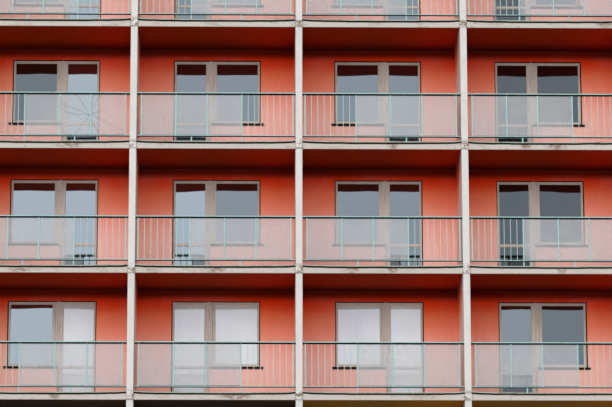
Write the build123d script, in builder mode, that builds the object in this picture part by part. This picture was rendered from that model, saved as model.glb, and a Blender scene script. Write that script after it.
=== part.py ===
"""Prefabricated apartment block: a raised ground storey and eight storeys of four bays.

The street side has a loggia in every bay. Its back wall holds a balcony door and a window side by side,
thin cross walls divide the loggias, and steel railings, part glazed and part open, close them in front.
Millimetres, +Z up, +Y from the street side to the rear. The origin is the centre of the base's underside.
"""
import os
from build123d import *

# Grid of the building
bays = 4
storeys = 8
bay_width = 3650
storey_height = 2800
ground_storey_height = 2400
loggia_depth = 1880
house_depth = 10200

# Concrete parts
base_thickness = 200
slab_thickness = 160
cross_wall_thickness = 150
facade_thickness = 250
gable_thickness = 300
panel_joint = 12
slab_edge_recess = 35
parapet_height = 500
parapet_thickness = 180
coping_thickness = 40
coping_overhang = 35

# Storeys painted brown on the left half and ochre on the right: those above them are red
lower_storeys = 4

# Balcony door and window of a loggia, side by side in one stepped opening
door_width = 850
window_width = 1130
opening_to_wall_line = 835
lintel_height = 240
sill_above_floor = 912
threshold_height = 65
window_setback = 60
window_thickness = 70
sill_thickness = 25
sill_projection = 45
sill_side_overlap = 70

# Rear windows, ground storey windows and the entrance
rear_window_width = 1980
cellar_window_width = 1200
cellar_window_height = 600
cellar_lintel_height = 540
entrance_width = 1700
entrance_lintel_height = 140
entrance_frame_width = 60
entrance_leaf_thickness = 50
entrance_leaf_gap = 4

# Loggia railing: two flat rails, three glazed fields between four posts, then upright bars
railing_height = 1120
railing_setback = 60
top_rail_height = 32
top_rail_depth = 75
bottom_rail_height = 26
bottom_rail_depth = 66
bottom_rail_clearance = 118
post_width = 30
bar_width = 14
glazed_end_gap = 100
open_end_gap = 60
outer_field_pitch = 765
middle_field_pitch = 685
bar_spaces = 8
pane_thickness = 8

# Places that follow from the sizes
front_y = -(loggia_depth + house_depth) / 2
wall_y = front_y + loggia_depth
rear_y = wall_y + house_depth
half_width = bays * bay_width / 2
loggia_half_width = half_width + cross_wall_thickness / 2
inner_half_width = half_width - cross_wall_thickness / 2
gable_half_width = inner_half_width + gable_thickness
clear_bay = bay_width - cross_wall_thickness
clear_height = storey_height - slab_thickness
head_above_floor = clear_height - lintel_height
roof_level = ground_storey_height + storeys * storey_height
bay_centres = [(bay - (bays - 1) / 2) * bay_width for bay in range(bays)]
wall_lines = [(line - bays / 2) * bay_width for line in range(bays + 1)]
floor_levels = [ground_storey_height + storey * storey_height for storey in range(storeys)]
all_bays = range(bays)
all_storeys = range(1, storeys + 1)
entrance_bay = bays // 2 - 1

house_x = (-inner_half_width, inner_half_width)
front_wall_y = (wall_y, wall_y + facade_thickness)
rear_wall_y = (rear_y - facade_thickness, rear_y)
front_unit_y = (wall_y + window_setback, wall_y + window_setback + window_thickness)
rear_unit_y = (rear_y - window_setback - window_thickness, rear_y - window_setback)
slab_z = (-slab_thickness, 0)
panel_z = (0, clear_height)
rear_panel_z = (-slab_thickness, clear_height - panel_joint)
window_z = (sill_above_floor, head_above_floor)
door_z = (threshold_height, head_above_floor)
sill_z = (sill_above_floor - sill_thickness, sill_above_floor)

os.makedirs("parts", exist_ok=True)


def write(builder, name):
    builder.part.label = name
    export_step(builder.part, f"parts/{name}.step")


def around(centre, width):
    return centre - width / 2, centre + width / 2


def blocks(width, y_range, z_range, places, mode=Mode.ADD):
    """Equal blocks of one width at each place, which is the middle across and the level they count from."""
    middle_y = (y_range[0] + y_range[1]) / 2
    middle_z = (z_range[0] + z_range[1]) / 2
    with Locations(*[(x, middle_y, level + middle_z) for x, level in places]):
        Box(width, y_range[1] - y_range[0], z_range[1] - z_range[0], mode=mode)


def block(x_range, y_range, z_range, mode=Mode.ADD):
    """One block between limits on each axis."""
    x0, x1 = sorted(x_range)
    blocks(x1 - x0, y_range, z_range, [((x0 + x1) / 2, 0)], mode)


def in_loggias(middle, group_bays=all_bays, levels=tuple(floor_levels)):
    """The places of a function of the bay, on each of the levels."""
    return [(middle(bay), level) for level in levels for bay in group_bays]


def door_side(bay):
    """+1 where the balcony door is by the bay's right-hand wall, -1 where it is by the left-hand wall."""
    return 1 if bay % 2 == 0 else -1


def glazed_side(bay, storey):
    """The side of the railing's glazed fields, which changes from storey to storey."""
    return door_side(bay) * (1 if storey % 2 else -1)


def bay_middle(bay):
    return bay_centres[bay]


def opening_edge(bay):
    """The upright edge of a loggia's opening on its door side."""
    return bay_centres[bay] + door_side(bay) * (bay_width / 2 - opening_to_wall_line)


def door_middle(bay):
    return opening_edge(bay) - door_side(bay) * door_width / 2


def window_middle(bay):
    return opening_edge(bay) - door_side(bay) * (door_width + window_width / 2)


def opening_middle(bay):
    return opening_edge(bay) - door_side(bay) * (door_width + window_width) / 2


# Base under the house and, a little narrower, under the loggias
with BuildPart() as base:
    block((-gable_half_width, gable_half_width), (wall_y, rear_y), (0, base_thickness))
    block((-loggia_half_width, loggia_half_width), (front_y, wall_y), (0, base_thickness))
write(base, "base_slab")

# Floors behind the loggias, with their rear edges behind the rear wall, and the roof over both walls
with BuildPart() as floors:
    blocks(2 * inner_half_width, (wall_y, rear_wall_y[0]), slab_z, [(0, level) for level in floor_levels])
write(floors, "floor_slabs")

with BuildPart() as roof:
    blocks(2 * inner_half_width, (wall_y, rear_y), slab_z, [(0, roof_level)])
write(roof, "roof_slab")

# Cross walls of the loggias, from the base to the roof
for number, line in enumerate(wall_lines, start=1):
    with BuildPart() as cross_wall:
        block(around(line, cross_wall_thickness), (front_y, wall_y), (base_thickness, roof_level))
    write(cross_wall, f"cross_wall_{number}")

# Loggia slabs, one between each pair of cross walls on every level
with BuildPart() as loggia_slabs:
    loggia_slab_places = in_loggias(bay_middle, levels=(*floor_levels, roof_level))
    blocks(clear_bay, (front_y + slab_edge_recess, wall_y), slab_z, loggia_slab_places)
write(loggia_slabs, "loggia_slabs")

# Gables
for name, side in (("left_gable", -1), ("right_gable", 1)):
    with BuildPart() as gable:
        block((side * inner_half_width, side * gable_half_width), (wall_y, rear_y), (base_thickness, roof_level))
    write(gable, name)


def piers(group_bays, openings, y_range, z_range, levels):
    """The wall between openings, each given by its middle and width, and out to the group's ends."""
    edges = [max(wall_lines[min(group_bays)], -inner_half_width)]
    for bay in group_bays:
        edges.extend(around(*openings(bay)))
    edges.append(min(wall_lines[max(group_bays) + 1], inner_half_width))
    for left, right in zip(edges[::2], edges[1::2]):
        blocks(right - left, y_range, z_range, [((left + right) / 2, level) for level in levels])


def loggia_opening(bay):
    return opening_middle(bay), door_width + window_width


def rear_opening(bay):
    return bay_centres[bay], rear_window_width


def painted_groups():
    """Each paint colour's storeys, as floor levels, and bays."""
    yield "brown", floor_levels[:lower_storeys], range(bays // 2)
    yield "ochre", floor_levels[:lower_storeys], range(bays // 2, bays)
    yield "red", floor_levels[lower_storeys:], all_bays


# Back wall of the loggias: piers between the openings, lintels over them and aprons under the windows
for colour, levels, group_bays in painted_groups():
    with BuildPart() as front_piers:
        piers(group_bays, loggia_opening, front_wall_y, panel_z, levels)
    write(front_piers, f"front_piers_{colour}")

    with BuildPart() as front_spandrels:
        lintel_z = (head_above_floor, panel_z[1])
        apron_z = (panel_z[0], sill_above_floor)
        lintel_places = in_loggias(opening_middle, group_bays, levels)
        blocks(door_width + window_width, front_wall_y, lintel_z, lintel_places)
        blocks(window_width, front_wall_y, apron_z, in_loggias(window_middle, group_bays, levels))
    write(front_spandrels, f"front_spandrels_{colour}")

with BuildPart() as thresholds:
    blocks(door_width, front_wall_y, (0, threshold_height), in_loggias(door_middle))
write(thresholds, "door_thresholds")

# Windows and doors, each closing its part of the opening
with BuildPart() as loggia_windows:
    blocks(window_width, front_unit_y, window_z, in_loggias(window_middle))
write(loggia_windows, "loggia_windows")

with BuildPart() as balcony_doors:
    blocks(door_width, front_unit_y, door_z, in_loggias(door_middle))
write(balcony_doors, "balcony_doors")

# Rear wall: storey-high panels that cover the floors' edges, with one window in every bay
for colour, levels, group_bays in painted_groups():
    with BuildPart() as rear_piers:
        piers(group_bays, rear_opening, rear_wall_y, rear_panel_z, levels)
    write(rear_piers, f"rear_piers_{colour}")

    with BuildPart() as rear_spandrels:
        for z_range in ((head_above_floor, rear_panel_z[1]), (rear_panel_z[0], sill_above_floor)):
            blocks(rear_window_width, rear_wall_y, z_range, in_loggias(bay_middle, group_bays, levels))
    write(rear_spandrels, f"rear_spandrels_{colour}")

with BuildPart() as rear_windows:
    blocks(rear_window_width, rear_unit_y, window_z, in_loggias(bay_middle))
write(rear_windows, "rear_windows")


def front_sill_middle(bay):
    """The front sill laps over the wall on the side away from the door alone."""
    return window_middle(bay) - door_side(bay) * sill_side_overlap / 2


# Sill sheets, in front of the wall under each window
with BuildPart() as sills:
    front_sill_y = (wall_y - sill_projection, wall_y)
    rear_sill_y = (rear_y, rear_y + sill_projection)
    blocks(window_width + sill_side_overlap, front_sill_y, sill_z, in_loggias(front_sill_middle))
    blocks(rear_window_width + 2 * sill_side_overlap, rear_sill_y, sill_z, in_loggias(bay_middle))
write(sills, "window_sills")

# Ground storey: small windows in both long walls, and the entrance in the rear wall
ground_z = (base_thickness, ground_storey_height - slab_thickness)
cellar_head = ground_z[1] - cellar_lintel_height
cellar_z = (cellar_head - cellar_window_height, cellar_head)
entrance_z = (ground_z[0], ground_z[1] - entrance_lintel_height)
entrance_middle = bay_centres[entrance_bay]
entrance_x = around(entrance_middle, entrance_width)
front_cellar_places = [(bay_centres[bay], 0) for bay in all_bays]
rear_cellar_places = [(bay_centres[bay], 0) for bay in all_bays if bay != entrance_bay]


def cellar_opening(bay):
    return bay_centres[bay], cellar_window_width


def ground_rear_opening(bay):
    return bay_centres[bay], entrance_width if bay == entrance_bay else cellar_window_width


with BuildPart() as ground_piers:
    piers(all_bays, cellar_opening, front_wall_y, ground_z, [0])
    piers(all_bays, ground_rear_opening, rear_wall_y, ground_z, [0])
write(ground_piers, "ground_wall_piers")

with BuildPart() as ground_spandrels:
    block(entrance_x, rear_wall_y, (entrance_z[1], ground_z[1]))
    for z_range in ((cellar_z[1], ground_z[1]), (ground_z[0], cellar_z[0])):
        blocks(cellar_window_width, front_wall_y, z_range, front_cellar_places)
        blocks(cellar_window_width, rear_wall_y, z_range, rear_cellar_places)
write(ground_spandrels, "ground_wall_spandrels")

with BuildPart() as cellar_windows:
    blocks(cellar_window_width, front_unit_y, cellar_z, front_cellar_places)
    blocks(cellar_window_width, rear_unit_y, cellar_z, rear_cellar_places)
write(cellar_windows, "cellar_windows")

# Entrance: a frame with two leaves
leaves_x = (entrance_x[0] + entrance_frame_width, entrance_x[1] - entrance_frame_width)
leaves_z = (entrance_z[0], entrance_z[1] - entrance_frame_width)
leaves_y = (rear_unit_y[1] - entrance_leaf_thickness, rear_unit_y[1])

with BuildPart() as entrance_frame:
    block(entrance_x, rear_unit_y, entrance_z)
    block(leaves_x, rear_unit_y, leaves_z, mode=Mode.SUBTRACT)
write(entrance_frame, "entrance_frame")

with BuildPart() as entrance_doors:
    block((leaves_x[0], entrance_middle - entrance_leaf_gap / 2), leaves_y, leaves_z)
    block((entrance_middle + entrance_leaf_gap / 2, leaves_x[1]), leaves_y, leaves_z)
write(entrance_doors, "entrance_doors")


def ring(outer, width, z_range):
    """A closed rim with the given half length and half depth outside, about the house's middle."""
    with BuildSketch(Plane((0, (wall_y + rear_y) / 2, z_range[0]))) as rim:
        Rectangle(2 * outer[0], 2 * outer[1])
        Rectangle(2 * (outer[0] - width), 2 * (outer[1] - width), mode=Mode.SUBTRACT)
    extrude(rim.sketch, amount=z_range[1] - z_range[0])


# Parapet round the roof, with its coping
rim_outer = (gable_half_width, house_depth / 2)
coping_outer = (rim_outer[0] + coping_overhang, rim_outer[1] + coping_overhang)
parapet_top = roof_level + parapet_height

with BuildPart() as parapet:
    ring(rim_outer, parapet_thickness, (roof_level, parapet_top))
write(parapet, "roof_parapet")

with BuildPart() as coping:
    ring(coping_outer, parapet_thickness + 2 * coping_overhang, (parapet_top, parapet_top + coping_thickness))
write(coping, "roof_coping")

# Railing of one loggia with its glazed fields on the right, about the middle of the bay and its floor
posts = [clear_bay / 2 - glazed_end_gap]
for pitch in (outer_field_pitch, middle_field_pitch, outer_field_pitch):
    posts.append(posts[-1] - pitch)
end_post = -clear_bay / 2 + open_end_gap
bar_pitch = (posts[-1] - end_post) / bar_spaces
bar_places = [end_post + bar_pitch * number for number in range(1, bar_spaces)]
legs = [(posts[1] + posts[2]) / 2, posts[3]]
rail_x = around(0, clear_bay)
bottom_rail_z = (bottom_rail_clearance, bottom_rail_clearance + bottom_rail_height)
top_rail_z = (railing_height - top_rail_height, railing_height)
infill_z = (bottom_rail_z[1], top_rail_z[0])

with BuildPart() as railing_frame:
    block(rail_x, around(0, top_rail_depth), top_rail_z)
    block(rail_x, around(0, bottom_rail_depth), bottom_rail_z)
    blocks(post_width, around(0, post_width), infill_z, [(x, 0) for x in (*posts, end_post)])
    blocks(post_width, around(0, post_width), (0, bottom_rail_z[0]), [(x, 0) for x in legs])

with BuildPart() as railing_bars:
    blocks(bar_width, around(0, bar_width), infill_z, [(x, 0) for x in bar_places])

with BuildPart() as railing_panes:
    for right_post, left_post in zip(posts, posts[1:]):
        pane_x = (left_post + post_width / 2, right_post - post_width / 2)
        block(pane_x, around(0, pane_thickness), infill_z)


def in_each_loggia(builder, group_storeys):
    """Adds a railing's part at each loggia, turned so that its glazed fields are on their side."""
    mirrored = mirror(builder.part, about=Plane.YZ, mode=Mode.PRIVATE)
    copies = []
    for storey in group_storeys:
        for bay in all_bays:
            shape = builder.part if glazed_side(bay, storey) > 0 else mirrored
            place = Location((bay_centres[bay], front_y + railing_setback, floor_levels[storey - 1]))
            copies.append(shape.moved(place))
    add(copies)


for storey in all_storeys:
    with BuildPart() as storey_railings:
        in_each_loggia(railing_frame, [storey])
    write(storey_railings, f"railings_{storey}")

for name, builder in (("railing_bars", railing_bars), ("railing_glass", railing_panes)):
    with BuildPart() as in_every_loggia:
        in_each_loggia(builder, all_storeys)
    write(in_every_loggia, name)
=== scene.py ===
"""Looks of a prefabricated apartment block with loggias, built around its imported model.

Everything is in metres in the model's own frame: +Z up, the loggias towards -Y, the origin at the centre of
the base's underside. Sizes come from the model's nodes where they can, and from the panel's properties.
"""

import math
import random

import bmesh
import bpy
from mathutils import Matrix, Vector


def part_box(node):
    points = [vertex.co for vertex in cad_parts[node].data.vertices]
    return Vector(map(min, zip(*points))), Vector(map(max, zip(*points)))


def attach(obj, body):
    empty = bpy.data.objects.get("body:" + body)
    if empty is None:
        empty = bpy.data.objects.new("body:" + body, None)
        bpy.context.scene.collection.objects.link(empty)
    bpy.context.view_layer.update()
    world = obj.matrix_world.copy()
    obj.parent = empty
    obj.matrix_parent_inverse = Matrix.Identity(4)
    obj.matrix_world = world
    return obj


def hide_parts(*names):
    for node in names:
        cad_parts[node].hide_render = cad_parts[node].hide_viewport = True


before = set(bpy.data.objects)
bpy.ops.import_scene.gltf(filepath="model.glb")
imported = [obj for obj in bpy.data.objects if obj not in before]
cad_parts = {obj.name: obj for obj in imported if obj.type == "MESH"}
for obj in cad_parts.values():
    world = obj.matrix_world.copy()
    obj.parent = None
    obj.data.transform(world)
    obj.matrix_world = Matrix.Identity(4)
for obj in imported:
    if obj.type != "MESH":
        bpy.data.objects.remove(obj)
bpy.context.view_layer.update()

bl_info = {
    "name": "Apartment Block with Loggias",
    "version": (1, 0, 0),
    "blender": (4, 5, 0),
    "location": "View3D > Sidebar > Apartment Block",
    "description": "Dresses a prefabricated apartment block: panels, railings, windows, paint and weather",
    "category": "Add Mesh",
}


# Grid of the building, read from the model
def solid_boxes(node):
    """The lowest and highest corner of each separate solid in a node."""
    shape = bmesh.new()
    shape.from_mesh(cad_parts[node].data)
    bmesh.ops.remove_doubles(shape, verts=shape.verts, dist=1e-5)
    found, seen = [], set()
    for start in shape.verts:
        if start in seen:
            continue
        seen.add(start)
        waiting, corners = [start], []
        while waiting:
            vertex = waiting.pop()
            corners.append(vertex.co.copy())
            neighbours = {edge.other_vert(vertex) for edge in vertex.link_edges} - seen
            seen |= neighbours
            waiting.extend(neighbours)
        found.append([Vector(map(pick, zip(*corners))) for pick in (min, max)])
    shape.free()
    return found


def middle(box):
    """The middle of a box that is given by its lowest and highest corner."""
    return (box[0] + box[1]) / 2


def around(centre, width):
    """The limits of a width that is centred on a place."""
    return centre - width / 2, centre + width / 2


CROSS_WALLS = sorted(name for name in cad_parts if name.startswith("cross_wall_"))
RAILINGS = sorted(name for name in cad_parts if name.startswith("railings_"))
BAYS = len(CROSS_WALLS) - 1
STOREYS = len(RAILINGS)
WALL_LINES = [middle(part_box(name)).x for name in CROSS_WALLS]
BAY_WIDTH = WALL_LINES[1] - WALL_LINES[0]
BAY_MIDDLES = [line + BAY_WIDTH / 2 for line in WALL_LINES[:-1]]
FLOORS = [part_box(name)[0].z for name in RAILINGS]
STOREY_HEIGHT = FLOORS[1] - FLOORS[0]
WALL_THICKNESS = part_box(CROSS_WALLS[0])[1].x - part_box(CROSS_WALLS[0])[0].x
FRONT, BACK_WALL = (corner.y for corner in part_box(CROSS_WALLS[0]))
BASE_TOP, ROOF_TOP = (corner.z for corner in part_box(CROSS_WALLS[0]))
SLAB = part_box("roof_slab")[1].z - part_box("roof_slab")[0].z
PANEL_LEVELS = [BASE_TOP, *(floor - SLAB for floor in FLOORS), ROOF_TOP]
LOWER_STOREYS = round((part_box("front_piers_brown")[1].z - FLOORS[0]) / STOREY_HEIGHT)
LOGGIA_DOORS = solid_boxes("balcony_doors")
LOGGIA_WINDOWS = solid_boxes("loggia_windows")
PANES = solid_boxes("railing_glass")
PAINTS = ("red", "brown", "ochre")

# Rust and dirt on the slabs' edges, by the storey that the slab is the floor of: the middle of each patch
# across and half its length, in metres
EDGE_PATCHES = {
    5: ((-5.27, 0.12), (-1.38, 0.38)),
    6: ((-6.07, 0.25), (-1.82, 0.23), (1.16, 0.16), (2.04, 0.13), (5.74, 0.12)),
    7: ((-5.05, 0.27), (2.06, 0.13), (5.00, 0.14), (5.69, 0.28)),
    8: ((6.80, 0.20),),
}

# How the glass looks in each pair of balcony door and window, from the left bay to the right, seen from the
# street: storeys that are not named repeat these
GLASS_BY_STOREY = {
    5: "net pale, net net, net net, day dim",
    6: "pale pale, pale day, day day, dusk dusk",
    7: "pale dim, day day, day day, dusk dusk",
}

# The railing with the cracked glass: its storey, counted from 1, and its bay, counted from 0 at the left
CRACKED_RAILING = (7, 0)


def linear(code):
    """A colour written as sRGB hex, as the linear values that shaders use."""
    shares = [int(code[place : place + 2], 16) / 255 for place in (1, 3, 5)]
    return (*((s / 12.92 if s <= 0.04045 else ((s + 0.055) / 1.055) ** 2.4) for s in shares), 1.0)


# Properties
def amount(name, description, default, **settings):
    return bpy.props.FloatProperty(name=name, description=description, default=default, **settings)


def length(name, description, default):
    return amount(name, description, default, min=0, unit="LENGTH")


def angle(name, description, degrees):
    return amount(name, description, math.radians(degrees), subtype="ANGLE")


def count(name, description, default):
    return bpy.props.IntProperty(name=name, description=description, default=default, min=1)


def paint(name, description, code):
    return bpy.props.FloatVectorProperty(
        name=name, description=description, default=linear(code), size=4, min=0, max=1, subtype="COLOR"
    )


class BlockSizes(bpy.types.PropertyGroup):
    """Sizes that the model leaves open."""

    concrete_edge: length("Concrete edge", "Chamfer along the edges of the precast panels", 0.008)
    panel_joint: length("Panel joint", "Width of the joints between precast panels", 0.008)
    joint_depth: length("Joint depth", "How far the joints lie behind the panels' faces", 0.008)
    wood_edge: length("Wood edge", "Rounding of frames and sashes", 0.004)
    frame_strip: length("Frame strip", "Visible face of a window frame at its outer sides", 0.056)
    bottom_strip: length("Bottom strip", "Face of a window's bottom rail", 0.070)
    glass_depth: length("Glass depth", "How far the glass lies behind a frame's face", 0.030)
    pane_thickness: length("Pane thickness", "Both panes of a window with the air between them", 0.024)
    bead: length("Bead", "Width and depth of the beads round a pane", 0.012)
    rail_setback: length("Rail setback", "How far a sash's rails lie behind its stiles", 0.008)


class BlockColours(bpy.types.PropertyGroup):
    """Colours of the finishes."""

    red: paint("Red", "Facade paint of the upper storeys", "#f97a4d")
    brown: paint("Brown", "Facade paint of the lower storeys on the left", "#6b5440")
    ochre: paint("Ochre", "Facade paint of the lower storeys on the right", "#c9993f")
    red_ceiling: paint("Red ceiling", "Ceilings of the red loggias", "#a83207")
    brown_ceiling: paint("Brown ceiling", "Ceilings of the brown loggias", "#534334")
    ochre_ceiling: paint("Ochre ceiling", "Ceilings of the ochre loggias", "#b58636")
    white: paint("White", "Painted concrete", "#dbd9d5")
    stain: paint("Stain", "Rust and dirt on the concrete", "#857360")
    steel: paint("Railing", "Paint of the railings", "#a3c8c4")
    frames: paint("Frames", "Paint of windows and doors", "#d2c9c0")


def sizes():
    return bpy.context.scene.block_sizes


def colour_of(name):
    """One of the panel's colours."""
    return tuple(getattr(bpy.context.scene.block_colours, name))


# Materials
X, Y, Z = range(3)
FACTOR, COLOUR_A, COLOUR_B, COLOUR_OUT = 0, 6, 7, 2


def shade_of(colour, factor):
    return (*(min(1.0, share * factor) for share in colour[:3]), 1.0)


def between(first, second, share):
    """A colour part of the way from one to another."""
    return (*(one + (other - one) * share for one, other in zip(first[:3], second[:3])), 1.0)


def deeper_copy(colour):
    """A deeper, more saturated copy of a paint's colour: used for painted shade, for runs, and in the
    ceilings' painted light.
    """
    brightest = max(colour[:3])
    return (*(brightest * (share / brightest) ** 1.8 for share in colour[:3]), 1.0)


def paler_copy(colour):
    """A paler copy of a paint's colour: used for painted light low on the loggias' walls, and for chalky
    patches and the rear wall's tone.
    """
    return shade_of(between(colour, [max(colour[:3])] * 3, 0.44), 1.05)


class Nodes:
    """The shader nodes of a material or world, emptied to be built anew."""

    def __init__(self, owner):
        owner.use_nodes = True
        self.tree = owner.node_tree
        self.tree.nodes.clear()

    def add(self, kind, inputs=(), **settings):
        """Adds a node with its settings, and its inputs: each a value, or a node or output to link."""
        node = self.tree.nodes.new(f"ShaderNode{kind}")
        for name, value in settings.items():
            setattr(node, name, value)
        for name, value in dict(inputs).items():
            if isinstance(value, bpy.types.Node):
                value = value.outputs[0]
            if isinstance(value, bpy.types.NodeSocket):
                self.tree.links.new(value, node.inputs[name])
            else:
                node.inputs[name].default_value = value
        return node


class Look(Nodes):
    """A material that is built up in coats, by masks that follow the place on the object in metres."""

    def __init__(self, name, colour, roughness, ior=1.5):
        self.material = bpy.data.materials.new(name)
        super().__init__(self.material)
        self.shader = self.add("BsdfPrincipled", {"Roughness": roughness, "IOR": ior})
        self.add("OutputMaterial", {"Surface": self.shader})
        surface = self.add("TexCoord").outputs
        self.place, self.normal = surface["Object"], surface["Normal"]
        self.colour = colour

    def layer(self, below, above, *masks):
        """One colour over another, as strongly as the masks and shares multiplied."""
        cover = masks[0]
        for mask in masks[1:]:
            cover = self.add("Math", {0: cover, 1: mask}, operation="MULTIPLY")
        inputs = {FACTOR: cover, COLOUR_A: below, COLOUR_B: above}
        return self.add("Mix", inputs, data_type="RGBA").outputs[COLOUR_OUT]

    def coat(self, colour, *masks):
        """Lays a colour over what is there."""
        self.colour = self.layer(self.colour, colour, *masks)

    def done(self, height=None, rise_mm=0, strength=0.6, alpha=None):
        """The finished material, raised by a mask up to a real height, and clear where alpha is low."""
        linked = {"Base Color": self.colour}
        if alpha:
            linked["Alpha"] = alpha
        if height:
            raised = {"Height": height, "Strength": strength, "Distance": rise_mm / 1000}
            linked["Normal"] = self.add("Bump", raised).outputs[0]
        for name, output in linked.items():
            self.tree.links.new(output, self.shader.inputs[name])
        return self.material

    def fade(self, value, start, end):
        """A soft mask from 0 where a value is at start to 1 where it is at end."""
        limits = {"Value": value, "From Min": start, "From Max": end}
        return self.add("MapRange", limits, interpolation_type="SMOOTHSTEP").outputs[0]

    def pattern(self, size_mm, stretch=(1, 1, 1), low=0.35, high=0.65, detail=4.0):
        """A mask of noise of a real size, stretched along each axis, that rises between its low and high."""
        scale = [1 / times for times in stretch]
        mapped = self.add("Mapping", {"Vector": self.place, "Scale": scale})
        grain = {"Vector": mapped, "Scale": 1000 / size_mm, "Detail": detail, "Roughness": 0.6}
        return self.fade(self.add("TexNoise", grain).outputs["Fac"], low, high)

    def along(self, axis):
        """The place along an axis, in metres."""
        return self.add("SeparateXYZ", {0: self.place}).outputs[axis]

    def facing(self, axis):
        """How far the surface faces along an axis."""
        return self.add("SeparateXYZ", {0: self.normal}).outputs[axis]

    def sideways(self):
        """A mask of the surfaces that face left or right."""
        return self.fade(self.add("Math", {0: self.facing(X)}, operation="ABSOLUTE"), 0.3, 0.9)

    def near(self, centre, reach):
        """A mask that is 1 at a point and fades to 0 at the given reach along each axis."""
        moved = self.add("VectorMath", {0: self.place, 1: centre}, operation="SUBTRACT")
        shares = self.add("VectorMath", {0: moved, 1: reach}, operation="DIVIDE")
        distance = self.add("VectorMath", {0: shares}, operation="LENGTH").outputs["Value"]
        return self.fade(distance, 1.0, 0.3)

    def near_lines(self, axis, start, period, reach):
        """A mask that is 1 on lines that repeat along an axis from start, and fades to 0 over reach."""
        moved = self.add("Math", {0: self.along(axis), 1: -start}, operation="ADD")
        distance = self.add("Math", {0: moved, 1: period / 2}, operation="PINGPONG")
        return self.fade(distance, reach, 0.0)

    def past_line(self, axis, start, period):
        """How far a place is past the last of the lines that repeat along an axis from start, in metres."""
        moved = self.add("Math", {0: self.along(axis), 1: -start}, operation="ADD")
        return self.add("Math", {0: moved, 1: period}, operation="FLOORED_MODULO")

    def above_floor(self):
        """The height above the floor of each storey, in metres."""
        return self.past_line(Z, FLOORS[0], STOREY_HEIGHT)


def facade_paint(name, colour):
    """Silicate paint rolled on cement render: matt and evenly paler on the open rear wall. In the loggias it
    has painted light low in each storey, painted shade under the slab above and on faces that look sideways
    or down, and painted shade with some soot in the corner there."""
    look = Look(name, colour, roughness=0.9, ior=1.15)
    deep, pale = deeper_copy(colour), paler_copy(colour)
    height, inwards = look.above_floor(), look.along(Y)
    # Painted shade: deeper high in each storey, under the slab above
    look.coat(deep, look.fade(height, 2.00, 2.40))
    # Painted light: paler low in each storey
    look.coat(pale, look.fade(height, 2.25, 0.80))
    look.coat(between(colour, pale, 0.15), look.fade(inwards, BACK_WALL + 0.6, BACK_WALL + 1.0))
    look.coat(pale, look.pattern(900, (1, 1, 1.4), 0.40, 0.70), 0.12)
    look.coat(deep, look.pattern(110, (1, 1, 9), 0.48, 0.72), 0.12)
    in_loggia = look.fade(inwards, BACK_WALL + 1.0, BACK_WALL + 0.6)
    # Painted shade in the corner under the slab, with some soot
    look.coat(shade_of(deep, 0.12), look.fade(height, 2.36, 2.57), in_loggia, 0.9)
    # Painted shade on faces that look left or right, such as the reveals
    look.coat(shade_of(deep, 0.35), look.sideways())
    # Painted shade on faces that look down, such as the heads of openings
    look.coat(shade_of(deep, 0.10), look.fade(look.facing(Z), -0.3, -0.9))
    # The render's grains are about 3 mm, drawn at 9 mm so that they still show
    return look.done(look.pattern(9, detail=2.0), 1.2)


def ceiling_paint(name, colour):
    """The same paint on the smooth underside of a slab: mottled darker in patches, with painted light that
    makes it brighter and deeper towards the right-hand wall of each bay, painted shade towards the back wall,
    and a few flaked spots."""
    look = Look(name, shade_of(colour, 0.92), roughness=0.9, ior=1.15)
    lit_tone = shade_of(between(colour, deeper_copy(colour), 0.4), 1.3)
    # Painted light: brighter and deeper towards the right-hand wall of each bay
    look.coat(lit_tone, look.fade(look.past_line(X, WALL_LINES[0], BAY_WIDTH), 1.7, 3.2))
    look.coat(shade_of(colour, 0.72), look.pattern(1400, low=0.35, high=0.70), 0.25)
    # Painted shade towards the corner with the back wall
    corner = look.fade(look.along(Y), BACK_WALL - 0.95, BACK_WALL + 0.05)
    look.coat(shade_of(colour, 0.10), corner, 0.93)
    look.coat(shade_of(colour, 2.2), look.pattern(60, (2, 1, 1), 0.735, 0.76, detail=2.0), 0.5)
    return look.done(look.pattern(25), 1.0)


def painted_concrete(name, colour, inside=None):
    """Precast concrete under old masonry paint: matt off-white, with grey film, rust runs and corners where
    the paint has come off. The loggias' side walls have an inside colour, behind their front."""
    look = Look(name, colour, roughness=0.78)
    look.coat(shade_of(colour, 0.80), look.pattern(480, (1, 1, 1.6), 0.42, 0.75), 0.40)
    look.coat(shade_of(colour, 0.62), look.pattern(46, (1, 1, 7), 0.52, 0.68), 0.22)
    look.coat(shade_of(colour, 0.66), look.pattern(34, low=0.56, high=0.68), 0.18)
    joints = look.near_lines(Z, FLOORS[0] - 0.07, STOREY_HEIGHT, 0.17)
    street_side = look.fade(look.along(Y), FRONT + 0.16, FRONT + 0.04)
    spots = look.pattern(95, (1.2, 1.5, 0.8), 0.44, 0.54)
    look.coat(colour_of("stain"), joints, street_side, spots)
    if inside:
        look.coat(inner_paint(look, inside), *inner_masks(look))
    return look.done(look.pattern(14, detail=3.0), 1.0)


def inner_masks(look):
    """Masks for the loggias' side walls, from behind their painted front to the back wall."""
    depth = look.fade(look.along(Y), FRONT - 0.15, FRONT + 1.15)
    aside = look.add("Math", {0: look.along(X)}, operation="ABSOLUTE")
    outer_face = WALL_LINES[-1] + WALL_THICKNESS / 2
    return depth, look.fade(aside, outer_face - 0.02, outer_face - 0.06), look.sideways()


def inner_paint(look, colour):
    """The facade paint as it shows on a side wall, with painted light and shade: a lighter copy of it, paler
    low in the storey, and darker towards the slab above.
    """
    # A lighter copy of the paint: painted light on the side walls
    painted = shade_of(colour, 1.2)
    height = look.above_floor()
    # Painted light low in the storey
    lower = look.layer(painted, paler_copy(painted), look.fade(height, 2.3, 1.4))
    # Painted shade towards the slab above
    return look.layer(lower, shade_of(deeper_copy(painted), 0.4), look.fade(height, 2.0, 2.65))


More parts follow.
